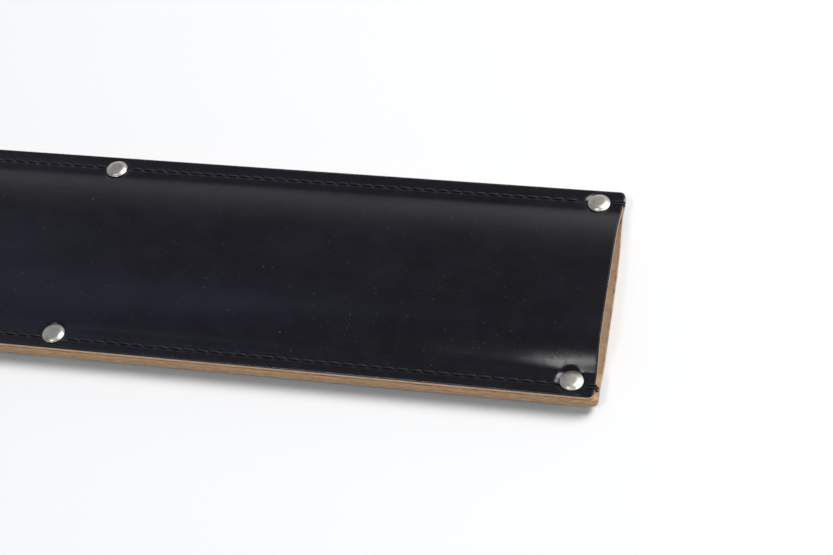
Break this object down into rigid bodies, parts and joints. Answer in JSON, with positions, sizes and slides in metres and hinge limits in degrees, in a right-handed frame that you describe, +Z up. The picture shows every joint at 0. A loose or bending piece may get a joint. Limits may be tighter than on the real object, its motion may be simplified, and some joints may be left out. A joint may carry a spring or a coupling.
{
  "type": "knife blade guard",
  "caption": "Flat stitched and riveted leather sheath for a chef's knife blade, open at the mouth, with a curved closed tip.",
  "frame": {"origin": "centre of the bounding box in plan, on the surface that the flat belly of the back panel rests on", "axes": "+X along the guard to the open mouth, +Y across it to the spine side, +Z up out of the front panel"},
  "size_m": [0.275, 0.079, 0.0137],
  "materials": {
    "black_leather": "smooth black-dyed grain leather, semi-gloss, raw tan at the cut edges and inside",
    "tan_leather": "undyed vegetable-tanned leather with cut edges",
    "nickel": "polished nickel-plated steel"
  },
  "bodies": {
    "root": {"front_panel": "black_leather", "back_panel": "black_leather", "spine_welt": "tan_leather", "edge_welt": "tan_leather", "tip_welt": "tan_leather", "mouth_spine_rivet_post": "nickel", "mouth_spine_rivet_socket": "nickel", "mouth_edge_rivet_post": "nickel", "mouth_edge_rivet_socket": "nickel", "middle_spine_rivet_post": "nickel", "middle_spine_rivet_socket": "nickel", "middle_edge_rivet_post": "nickel", "middle_edge_rivet_socket": "nickel", "tip_spine_rivet_post": "nickel", "tip_spine_rivet_socket": "nickel", "tip_edge_rivet_post": "nickel", "tip_edge_rivet_socket": "nickel"}
  },
  "joints": []
}
